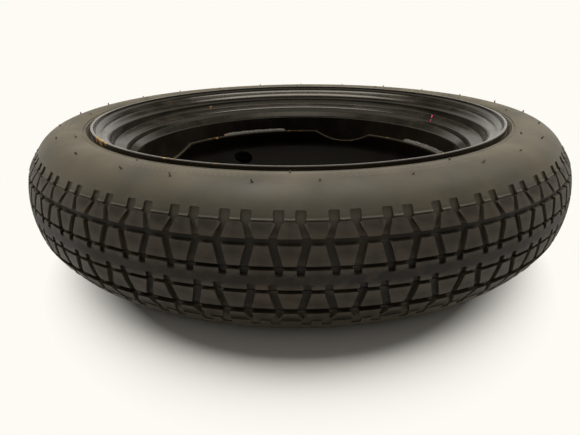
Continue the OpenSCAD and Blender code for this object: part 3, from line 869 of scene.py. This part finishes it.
def sheet_outline(path, thickness, edge=0.5):
    """Both sides of a sheet, with its two cut edges a little rounded."""
    other = moved(path, thickness)
    made = []
    for side, back in ((path, other), (other[::-1], path[::-1])):
        start, end = Vector(side[0]), Vector(side[-1])
        along_start = (Vector(side[1]) - start).normalized()
        along_end = (Vector(side[-2]) - end).normalized()
        across_start = (Vector(back[0]) - start).normalized()
        across_end = (Vector(back[-1]) - end).normalized()
        made.append(tuple(start + across_start * edge))
        made.append(tuple(start + along_start * edge * 0.3 + across_start * edge * 0.3))
        made.append(tuple(start + along_start * edge))
        made += side[1:-1]
        made.append(tuple(end + along_end * edge))
        made.append(tuple(end + along_end * edge * 0.3 + across_end * edge * 0.3))
        made.append(tuple(end + across_end * edge))
    return made


def valve_frame():
    """The middle of the valve hole on the bare side of the rim, and the valve's direction."""
    well_end = Vector((WELL_R, WELL_BOTTOM))
    hump_end = Vector((seat_at(HUMP_Z), FACE_HUMP_Z))
    wall = (hump_end - well_end).normalized()
    inward = Vector((wall.y, -wall.x))
    middle = (well_end + hump_end) / 2 + inward * RIM_T
    lean = math.degrees(math.atan2(-wall.y, wall.x))
    return turned(0, 0, VALVE_TURN) @ shifted(middle.x, 0, middle.y) @ turned(0, 180 + lean, 0)


def make_rim():
    rim = revolved(sheet_outline(rim_path(), RIM_T), "rim_shell", 288)
    place = valve_frame() @ shifted(0, 0, -2 * RIM_T)
    cut(rim, prism(circle(VALVE_HOLE_R, 48), "valve_hole", 4 * RIM_T, place))
    smooth(rim)
    return rim


# ---------------------------------------------------------------- wheel disc
def make_disc():
    hub_mid = HUB_FACE_Z - DISC_T / 2
    seat_top = -DISC_T - SEAT_BOSS_H
    path = rounded([(DISC_EDGE_MID, EDGE_Z, 0), (DISC_EDGE_MID, BEND_Z, 12),
                    (CROWN_OUT_R, CROWN_Z, 18), (CROWN_IN_R, CROWN_Z, 16), (HUB_R, hub_mid, 14),
                    (BORE_R, hub_mid, 0)], 10)
    path = spaced(path, 4.0)
    disc = revolved(sheet_outline(moved(path, -DISC_T / 2), DISC_T, 0.6), "disc_pressing", 240)
    for i in range(BOLTS):
        boss = [(BOLT_R - 2, -2.0), (BOLT_R - 2, seat_top), (CONE_R + 2.4, seat_top),
                (CONE_R + 3.2, seat_top + 0.5), (CONE_R + 4.6, -DISC_T - 0.4),
                (CONE_R + 5.6, -DISC_T + 0.3), (CONE_R + 5.6, -2.0)]
        seat = revolved(boss, "bolt_seat", 48)
        seat.data.transform(turned(0, 0, i * 360 / BOLTS) @ shifted(BOLT_RING_R, 0, HUB_FACE_Z))
        fuse(disc, seat)
    for i in range(BOLTS):
        lean = math.tan(math.radians(30))
        shape = [(0.0, 1.0), (BOLT_R, 1.0), (BOLT_R, seat_top + (CONE_R - BOLT_R) / lean),
                 (CONE_R + lean, seat_top - 1), (0.0, seat_top - 1)]
        hole = revolved(shape, "bolt_hole", 48)
        hole.data.transform(turned(0, 0, i * 360 / BOLTS) @ shifted(BOLT_RING_R, 0, HUB_FACE_Z))
        cut(disc, hole)
    curve = ((SCALLOP_W / 2) ** 2 + SCALLOP_DEPTH ** 2) / (2 * SCALLOP_DEPTH)
    half = math.degrees(math.asin(SCALLOP_W / 2 / curve))
    bottom = arc((0, EDGE_Z - SCALLOP_DEPTH + curve), curve, -90 - half, -90 + half, 32)
    outline = bottom + [(SCALLOP_W / 2 + 6, EDGE_Z + 8), (-SCALLOP_W / 2 - 6, EDGE_Z + 8)]
    hole_r = between(CROWN_OUT_R, DISC_EDGE_MID, HAND_PLACE)
    hole_z = between(CROWN_Z, BEND_Z, HAND_PLACE)
    slope = math.degrees(math.atan(DISC_SLOPE))
    reach = 12
    for i in range(LANDS):
        place = (turned(0, 0, SCALLOP_TURN + LAND_STEP * i) @ shifted(DISC_EDGE_MID - reach, 0, 0)
                 @ turned(90, 0, 90))
        cut(disc, prism(outline, "scallop", 2 * reach, place))
        place = (turned(0, 0, HAND_TURN + LAND_STEP * i) @ shifted(hole_r, 0, hole_z)
                 @ turned(0, -slope, 0) @ shifted(0, 0, -15))
        cut(disc, prism(circle(HAND_HOLE_R, 64), "hand_hole", 30, place))
    weld_points(disc)
    smooth(disc)
    return disc


def make_welds():
    """Four fillet beads, each a row of overlapping ripples between the disc's edge and the well."""
    wall = DISC_EDGE_R
    base = EDGE_Z + SEAT_GAP
    beads = []
    steps, ripple = 168, 2.4
    for i in range(LANDS):
        start = WELD_TURN + LAND_STEP * i - WELD_SPAN / 2
        shape = [(wall, base)] + arc((wall, base), WELD_LEG, 180, 90, 8)
        bead = loop_of(shape, "weld_bead", in_section)
        fill_loop(bead)
        spin_selected(bead, steps, WELD_SPAN)
        weld_points(bead, 0.001)
        for vertex in bead.data.vertices:
            angle = math.degrees(math.atan2(vertex.co.y, vertex.co.x))
            run = math.radians(angle) * wall
            r = math.hypot(vertex.co.x, vertex.co.y) / MM - wall
            z = vertex.co.z / MM - base
            end = min(angle, WELD_SPAN - angle) / WELD_SPAN
            size = min(1.0, 0.55 + 9 * max(end, 0))
            wander = 0.06 * math.sin(run * 0.31 + i) + 0.04 * math.sin(run * 0.83 + 2 * i)
            size *= 0.77 + 0.07 * abs(math.sin(math.pi * run / ripple + 0.5 * r)) + wander - 0.05
            r, z = r * size, z * size
            a = math.radians(angle)
            vertex.co = (math.cos(a) * (wall + r) * MM, math.sin(a) * (wall + r) * MM,
                         (base + z) * MM)
        bead.data.transform(Matrix.Rotation(math.radians(start), 4, "Z"))
        beads.append(bead)
    welds = joined(beads, "weld_beads")
    smooth(welds, 50)
    return welds


# ---------------------------------------------------------------- valve
def turned_piece(points, name, steps=48):
    piece = revolved(points, name, steps)
    piece.data.transform(valve_frame())
    return piece


def make_valve():
    inside, gap, hold = -RIM_T, SEAT_GAP, STEM_R + 0.35
    foot = inside - 6.5
    button = [(hold + gap, foot), (5.9, foot), (6.6, foot + 0.4), (8.7, inside - 2.9),
              (9.0, inside - 2.2), (9.0, inside - 0.5), (8.7, inside - gap)]
    groove = [(VALVE_HOLE_R - gap, inside - gap), (VALVE_HOLE_R - gap, gap)]
    bulb = [(7.1, gap), (7.4, 0.4), (7.4, 1.6), (7.2, 2.6), (6.7, 3.9), (6.2, 5.0), (6.0, 7.0),
            (5.85, 10.0), (5.75, VALVE_OUT - 2), (5.4, VALVE_OUT - 0.5), (5.05, VALVE_OUT)]
    bore = [(STEM_R + gap, VALVE_OUT), (STEM_R + gap, VALVE_OUT - 3), (hold + gap, VALVE_OUT - 3.4)]
    body = turned_piece(button + groove + bulb + bore, "valve_rubber")
    thread = []
    z, pitch, root_r = VALVE_OUT + 0.6, 0.8, STEM_R - 0.28
    while z < STEM_END - 1.2:
        thread += [(STEM_R, z), (root_r, z + 0.2), (root_r, z + 0.3), (STEM_R, z + 0.5)]
        z += pitch
    stem = turned_piece(
        [(1.6, foot), (hold, foot), (hold, VALVE_OUT - 3.4), (STEM_R, VALVE_OUT - 3)] + thread
        + [(STEM_R, STEM_END - 0.6), (STEM_R - 0.5, STEM_END), (2.5, STEM_END), (2.5, 8.2),
           (2.0, 6.0), (2.0, 2.0), (1.6, 1.0)], "valve_stem_turning")
    cap_foot = VALVE_OUT + 0.5
    cap = turned_piece(
        [(STEM_R + 0.2, cap_foot), (4.7, cap_foot), (5.0, cap_foot + 0.3), (5.0, STEM_END - 2),
         (4.8, STEM_END - 1.7), (4.0, STEM_END + 0.95), (3.7, STEM_END + 1.4),
         (3.2, STEM_END + 1.6), (0.001, STEM_END + 1.6), (0.001, STEM_END + 0.6),
         (STEM_R - 0.3, STEM_END + 0.6), (STEM_R + 0.2, STEM_END - 0.7)],
        "valve_cap_moulding", 96)
    # Grip ribs round the cap
    place = valve_frame()
    back = place.inverted()
    for vertex in cap.data.vertices:
        p = back @ vertex.co
        radius = math.hypot(p.x, p.y) / MM
        if radius > 4.85 and cap_foot + 0.2 < p.z / MM < STEM_END - 1.9:
            dip = 1 - 0.05 * (0.5 + 0.5 * math.cos(24 * math.atan2(p.y, p.x)))
            vertex.co = place @ Vector((p.x * dip, p.y * dip, p.z))
    for piece in (body, stem, cap):
        smooth(piece, 40)
    return body, stem, cap


def make_spring():
    """The core's spring, with its axis, its foot and the share of its length that it would keep
    with the pin pressed.
    """
    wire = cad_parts["valve_spring"]
    mesh = wire.data.copy()
    mesh.transform(wire.matrix_world)
    spring = bpy.data.objects.new("core_spring_wire", mesh)
    bpy.context.scene.collection.objects.link(spring)
    weld_points(spring, 0.001)
    axis = (valve_frame().to_3x3() @ Vector((0, 0, 1))).normalized()
    along = sorted((vertex.co.dot(axis), vertex.index) for vertex in mesh.vertices)
    length = along[-1][0] - along[0][0]
    foot = mesh.vertices[along[0][1]].co.copy()
    return spring, axis, foot, 1 - PIN_TRAVEL * MM / length


# ---------------------------------------------------------------- small marks
def wall_point(azimuth, radius, side):
    """A point of a sidewall and the direction that it faces; side is 1 on the hub side, or -1."""
    a = math.radians(azimuth)
    z = sidewall_z(radius)
    n = Vector((radius - WALL_MID[0], z - WALL_MID[1])).normalized()
    normal = Vector((n.x * math.cos(a), n.x * math.sin(a), side * n.y))
    return Vector((radius * math.cos(a) * MM, radius * math.sin(a) * MM, side * z * MM)), normal


def make_vent_whiskers():
    """Thin rubber whiskers that the mould's air vents leave on both sidewalls."""
    outer_r, inner_r = 268.2, 250.6
    outer = [208.1, 224.0, 239.1, 249.4, 263.1, 273.4, 288.5, 303.0, 315.2, 328.4, 343.3, 358.4]
    outer += [13.5 + 15 * i for i in range(13)]
    inner = [238.5 + 30.2 * i for i in range(12)]
    places = [(az, outer_r, 1) for az in outer] + [(az, inner_r, 1) for az in inner]
    places += [(az + 7, outer_r, -1) for az in outer] + [(az + 11, inner_r, -1) for az in inner]
    whiskers = []
    for azimuth, radius, side in places:
        length = random.uniform(1.6, 3.4)
        # Those below end above the floor, and those near the rim are short
        if side < 0:
            length = min(length, 0.45)
        elif radius == inner_r:
            length = min(length, 2.2)
        lean = Vector((random.uniform(-0.5, 0.5), random.uniform(-0.5, 0.5),
                       random.uniform(-0.2, 0.2)))
        point, normal = wall_point(azimuth, radius + random.uniform(-1.5, 1.5), side)
        deselect()
        bpy.ops.mesh.primitive_cone_add(vertices=8, radius1=1.15 * MM, radius2=0.5 * MM,
                                        depth=length * MM)
        whisker = bpy.context.object
        direction = (normal + lean * (0.2 if side < 0 else 1.0)).normalized()
        turn = direction.to_track_quat("Z", "Y").to_matrix().to_4x4()
        middle = point + direction * (length / 2 - 0.3) * MM
        whisker.data.transform(Matrix.Translation(middle) @ turn)
        whiskers.append(whisker)
    made = joined(whiskers, "vent_whiskers")
    smooth(made, 40)
    return made


def make_wall_bars():
    """A generic band of low slanted bars along five stretches of each sidewall."""
    stretches = ((238.0, 262.0), (276.0, 302.0), (185.0, 200.0), (60.0, 96.0), (120.0, 146.0))
    spacing, band_r, band_w = 1.05, 260.5, 7.0
    bars = []
    for side in (1, -1):
        for start, end in stretches:
            count = int((end - start) / spacing)
            for k in range(count):
                azimuth = start + (end - start) * k / count
                deselect()
                bpy.ops.mesh.primitive_cube_add(size=1)
                bar = bpy.context.object
                for vertex in bar.data.vertices:
                    u, v, w = vertex.co
                    point, normal = wall_point(azimuth + u * 0.34 + v * 0.55,
                                               band_r + v * band_w, side)
                    vertex.co = point + normal * (0.14 if w > 0 else -0.4) * MM
                bars.append(bar)
    made = joined(bars, "sidewall_bars")
    face_outwards(made)
    return made


def make_paint_marks():
    """Two short strokes of crimson inspection paint on the rim's bare wall, on the hub side."""
    # The ends of each stroke, as (azimuth, radius, height)
    strokes = (((27.6, 214.8, 38.9), (25.6, 207.8, 36.0)),
               ((24.4, 203.4, 34.7), (23.7, 200.9, 33.2)))
    marks = []
    for start, end in strokes:
        deselect()
        bpy.ops.mesh.primitive_grid_add(x_subdivisions=4, y_subdivisions=8, size=1)
        mark = bpy.context.object
        for vertex in mark.data.vertices:
            u, v = vertex.co.x, vertex.co.y
            azimuth, r, z = (between(low, high, v + 0.5) for low, high in zip(end, start))
            r, z = on_hub_wall(r, z, 0.12)
            a = math.radians(azimuth + u * 0.45 * (1 - 1.2 * v * v) - v * 0.12)
            vertex.co = (r * math.cos(a) * MM, r * math.sin(a) * MM, z * MM)
        marks.append(mark)
    made = joined(marks, "paint_marks")
    apply_modifier(made, "SOLIDIFY", "film", thickness=0.08 * MM, offset=0)
    return made


# ---------------------------------------------------------------- the wheel
# Rust spots, each (azimuth, radius, height, size)
DISC_MARK_R, WELD_MARK_R = 192.6, 192.0
rim_marks = [(217.0, 234.2, 61.7, 7), (213.8, 234.6, 61.0, 4.5), (220.5, 233.6, 62.0, 3.6),
             (242.0, 232.8, 62.2, 3), (244.0, 232.8, 62.2, 2.6), (128.5, 214.9, 40.3, 2.6),
             (301.0, 233.2, 62.0, 2), (254.0, 233.2, 62.0, 2)]
disc_marks = [(azimuth, DISC_MARK_R, EDGE_Z - below, size) for azimuth, below, size in (
    (94.0, 0, 2.6), (88.5, 0.5, 2.0), (83.0, 2, 1.8), (130.5, 0, 3.4), (134.0, 1, 2.2),
    (52.0, 2, 1.8), (45.0, 0.5, 2.0))]
weld_marks = [(azimuth, WELD_MARK_R, EDGE_Z + 1.5, size) for azimuth, size in (
    (95.8, 3.0), (126.2, 3.2), (36.4, 2.4), (185.6, 3.0))]
tyre_rubber = tyre_material()
rim_paint = paint_material("rim_black_paint", rim_marks, 0.15, 1.0, 0.35)
# The disc's paint is matt, and darker than the rim's as painted shade; its pale edge line is a
# painted highlight as well as wear
disc_paint_with_painted_shade = paint_material("disc_black_paint_with_painted_shade", disc_marks, 0.0, 0.05, 0.5)
weld_metal = weld_material(weld_marks)
soft_rubber = plain_material("valve_black_rubber", (0.016, 0.016, 0.016),
                             (0.028, 0.027, 0.026), 0.6, 900.0)
cap_plastic = plain_material("cap_black_plastic", (0.012, 0.012, 0.012), (0.02, 0.02, 0.02),
                             0.42, 700.0)
brass = plain_material("turned_brass", (0.5, 0.36, 0.15), (0.66, 0.5, 0.24), 0.3, 500.0,
                       metallic=1.0)
spring_wire = plain_material("bright_spring_wire", (0.4, 0.4, 0.41), (0.58, 0.58, 0.6), 0.3,
                             900.0, metallic=1.0)
red_seal = plain_material("red_sealing_ring", (0.35, 0.035, 0.02), (0.5, 0.06, 0.03), 0.45,
                          600.0)
crimson = plain_material("crimson_paint_stroke", (0.72, 0.02, 0.09), (0.85, 0.04, 0.16), 0.5,
                         500.0)

dress(make_tyre(), tyre_rubber, "wheel", "tyre")
dress(make_rim(), rim_paint, "wheel", "rim")
dress(make_disc(), disc_paint_with_painted_shade, "wheel", "wheel_disc")
dress(make_welds(), weld_metal, "wheel", "disc_welds")
valve_rubber, valve_stem, valve_cap = make_valve()
dress(valve_rubber, soft_rubber, "wheel", "valve_body")
dress(valve_stem, brass, "wheel", "valve_stem")
dress(valve_cap, cap_plastic, "cap", "valve_cap")
spring, spring_axis, spring_foot, spring_keep = make_spring()
dress(spring, spring_wire, "wheel", "valve_spring")
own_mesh(spring)
dress(make_vent_whiskers(), tyre_rubber, "wheel")
dress(make_wall_bars(), tyre_rubber, "wheel")
dress(make_paint_marks(), crimson, "wheel")

# The nodes that are shown as CAD made them
for node, material in (("valve_core_body", brass), ("valve_core_gasket", red_seal),
                       ("valve_pin", brass), ("valve_pin_seal", soft_rubber),
                       ("valve_cap_seal", soft_rubber)):
    give(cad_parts[node], material)

# ---------------------------------------------------------------- floor, lamps and camera
WHITE = (0.985, 0.965, 0.905)
FLOOR_TONES = ((0.84, 0.825, 0.78), (0.89, 0.875, 0.83))
FILL_TONE = (1.0, 0.97, 0.92)
LAMP_TONE = (1.0, 0.97, 0.93)
# Metres: the floor fades to white from the first distance to the second, but not within the
# third, so that the wheel's shadow stays
FADE_FROM, FADE_TO = 0.255, 0.335
SHADOW_KEPT = (0.25, 0.262)


def looked_at(tree):
    """One for the camera's rays and for those that mirrors and glass pass on, otherwise none."""
    rays = tree.nodes.new("ShaderNodeLightPath").outputs
    seen = maths(tree, "ADD", rays["Is Camera Ray"], rays["Is Glossy Ray"], clamp=True)
    return maths(tree, "ADD", seen, rays["Is Transmission Ray"], clamp=True)


deselect()
bpy.ops.mesh.primitive_plane_add(size=14, location=(0, 0, FLOOR_Z * MM))
floor = bpy.context.object
floor.name = "floor"
floor_material, tree, shader, place = material_start("pale_floor", 0.6, specular=0.25)
floor_colour = mixed(tree, ranged(tree, noise(tree, place, 6.0, 6.0), 0.3, 0.7), *FLOOR_TONES)
tree.links.new(floor_colour, shader.inputs["Base Color"])
# Away from the wheel the floor fades into the pale backdrop
stretch = tree.nodes.new("ShaderNodeVectorMath")
stretch.operation = "MULTIPLY_ADD"
stretch.inputs[1].default_value = (1.25, 1, 1)
stretch.inputs[2].default_value = (0, 0.05, 0)
tree.links.new(place, stretch.inputs[0])
far_off = ranged(tree, ring_coordinates(tree, stretch.outputs["Vector"])[0], FADE_FROM, FADE_TO)
outside = ranged(tree, ring_coordinates(tree, place)[0], *SHADOW_KEPT)
far_off = maths(tree, "MULTIPLY", far_off, outside)
pale = tree.nodes.new("ShaderNodeEmission")
pale.inputs["Color"].default_value = (*WHITE, 1.0)
pale.inputs["Strength"].default_value = 1.0
fade = tree.nodes.new("ShaderNodeMixShader")
tree.links.new(maths(tree, "MULTIPLY", far_off, looked_at(tree)), fade.inputs[0])
tree.links.new(shader.outputs["BSDF"], fade.inputs[1])
tree.links.new(pale.outputs["Emission"], fade.inputs[2])
tree.links.new(fade.outputs["Shader"], tree.nodes["Material Output"].inputs["Surface"])
give(floor, floor_material)

world = bpy.data.worlds.new("studio")
bpy.context.scene.world = world
world.use_nodes = True
sky = world.node_tree
fill = sky.nodes["Background"]
fill.inputs["Color"].default_value = (*FILL_TONE, 1.0)
fill.inputs["Strength"].default_value = 0.17
backdrop = sky.nodes.new("ShaderNodeBackground")
backdrop.inputs["Color"].default_value = (*WHITE, 1.0)
# The backdrop is white round the horizon and dark above it, with a soft white ceiling overhead
sky_split = sky.nodes.new("ShaderNodeSeparateXYZ")
sky.links.new(sky.nodes.new("ShaderNodeTexCoord").outputs["Generated"], sky_split.inputs["Vector"])
rising = sky_split.outputs["Z"]
sky.links.new(maths(sky, "MAXIMUM", ranged(sky, rising, 0.28, 0.5, 1.0, 0.1),
                    ranged(sky, rising, 0.8, 0.92, 0.0, 2.8)), backdrop.inputs["Strength"])
choose = sky.nodes.new("ShaderNodeMixShader")
sky.links.new(looked_at(sky), choose.inputs[0])
sky.links.new(fill.outputs[0], choose.inputs[1])
sky.links.new(backdrop.outputs[0], choose.inputs[2])
sky.links.new(choose.outputs[0], sky.nodes["World Output"].inputs["Surface"])


def soft_lamp(name, place, width, height, power, mirrored):
    """A soft lamp that looks at the wheel's centre, and that gloss mirrors or not."""
    lamp = bpy.data.lights.new(name, "AREA")
    lamp.shape = "RECTANGLE"
    lamp.size, lamp.size_y = width, height
    lamp.energy = power
    lamp.color = LAMP_TONE
    holder = bpy.data.objects.new(name, lamp)
    bpy.context.scene.collection.objects.link(holder)
    holder.location = place
    holder.rotation_mode = "QUATERNION"
    holder.rotation_quaternion = (-Vector(place)).to_track_quat("-Z", "Y")
    holder.visible_glossy = mirrored


soft_lamp("overhead_softbox", (0.0, 0.2, 1.7), 1.9, 0.9, 18.5, True)
soft_lamp("left_softbox", (-1.3, 0.7, 1.0), 1.0, 1.0, 25, False)
soft_lamp("right_softbox", (1.3, 0.7, 1.0), 1.0, 1.0, 25, False)

# The camera of the photograph: its focal length, place in metres and turns in radians
SENSOR_W = 36.0
FOCAL_PIXELS = 491.97
FRAME_PIXELS = 580
EYE = Vector((0.0, -0.601078, 0.169024))
YAW, PITCH, ROLL = -0.017395, 0.387440, -0.012796
forward = Vector((math.sin(YAW) * math.cos(PITCH), math.cos(YAW) * math.cos(PITCH),
                  -math.sin(PITCH)))
level = Vector((math.cos(YAW), -math.sin(YAW), 0))
upright = level.cross(forward)
right = math.cos(ROLL) * level + math.sin(ROLL) * upright
up = -math.sin(ROLL) * level + math.cos(ROLL) * upright
camera_data = bpy.data.cameras.new("camera")
camera_data.sensor_fit = "HORIZONTAL"
camera_data.sensor_width = SENSOR_W
camera_data.lens = FOCAL_PIXELS * SENSOR_W / FRAME_PIXELS
camera_data.clip_start = 0.01
camera = bpy.data.objects.new("camera", camera_data)
bpy.context.scene.collection.objects.link(camera)
camera.matrix_world = Matrix.Translation(EYE) @ Matrix((right, up, -forward)).transposed().to_4x4()
bpy.context.scene.camera = camera
bpy.context.scene.view_settings.view_transform = "Standard"
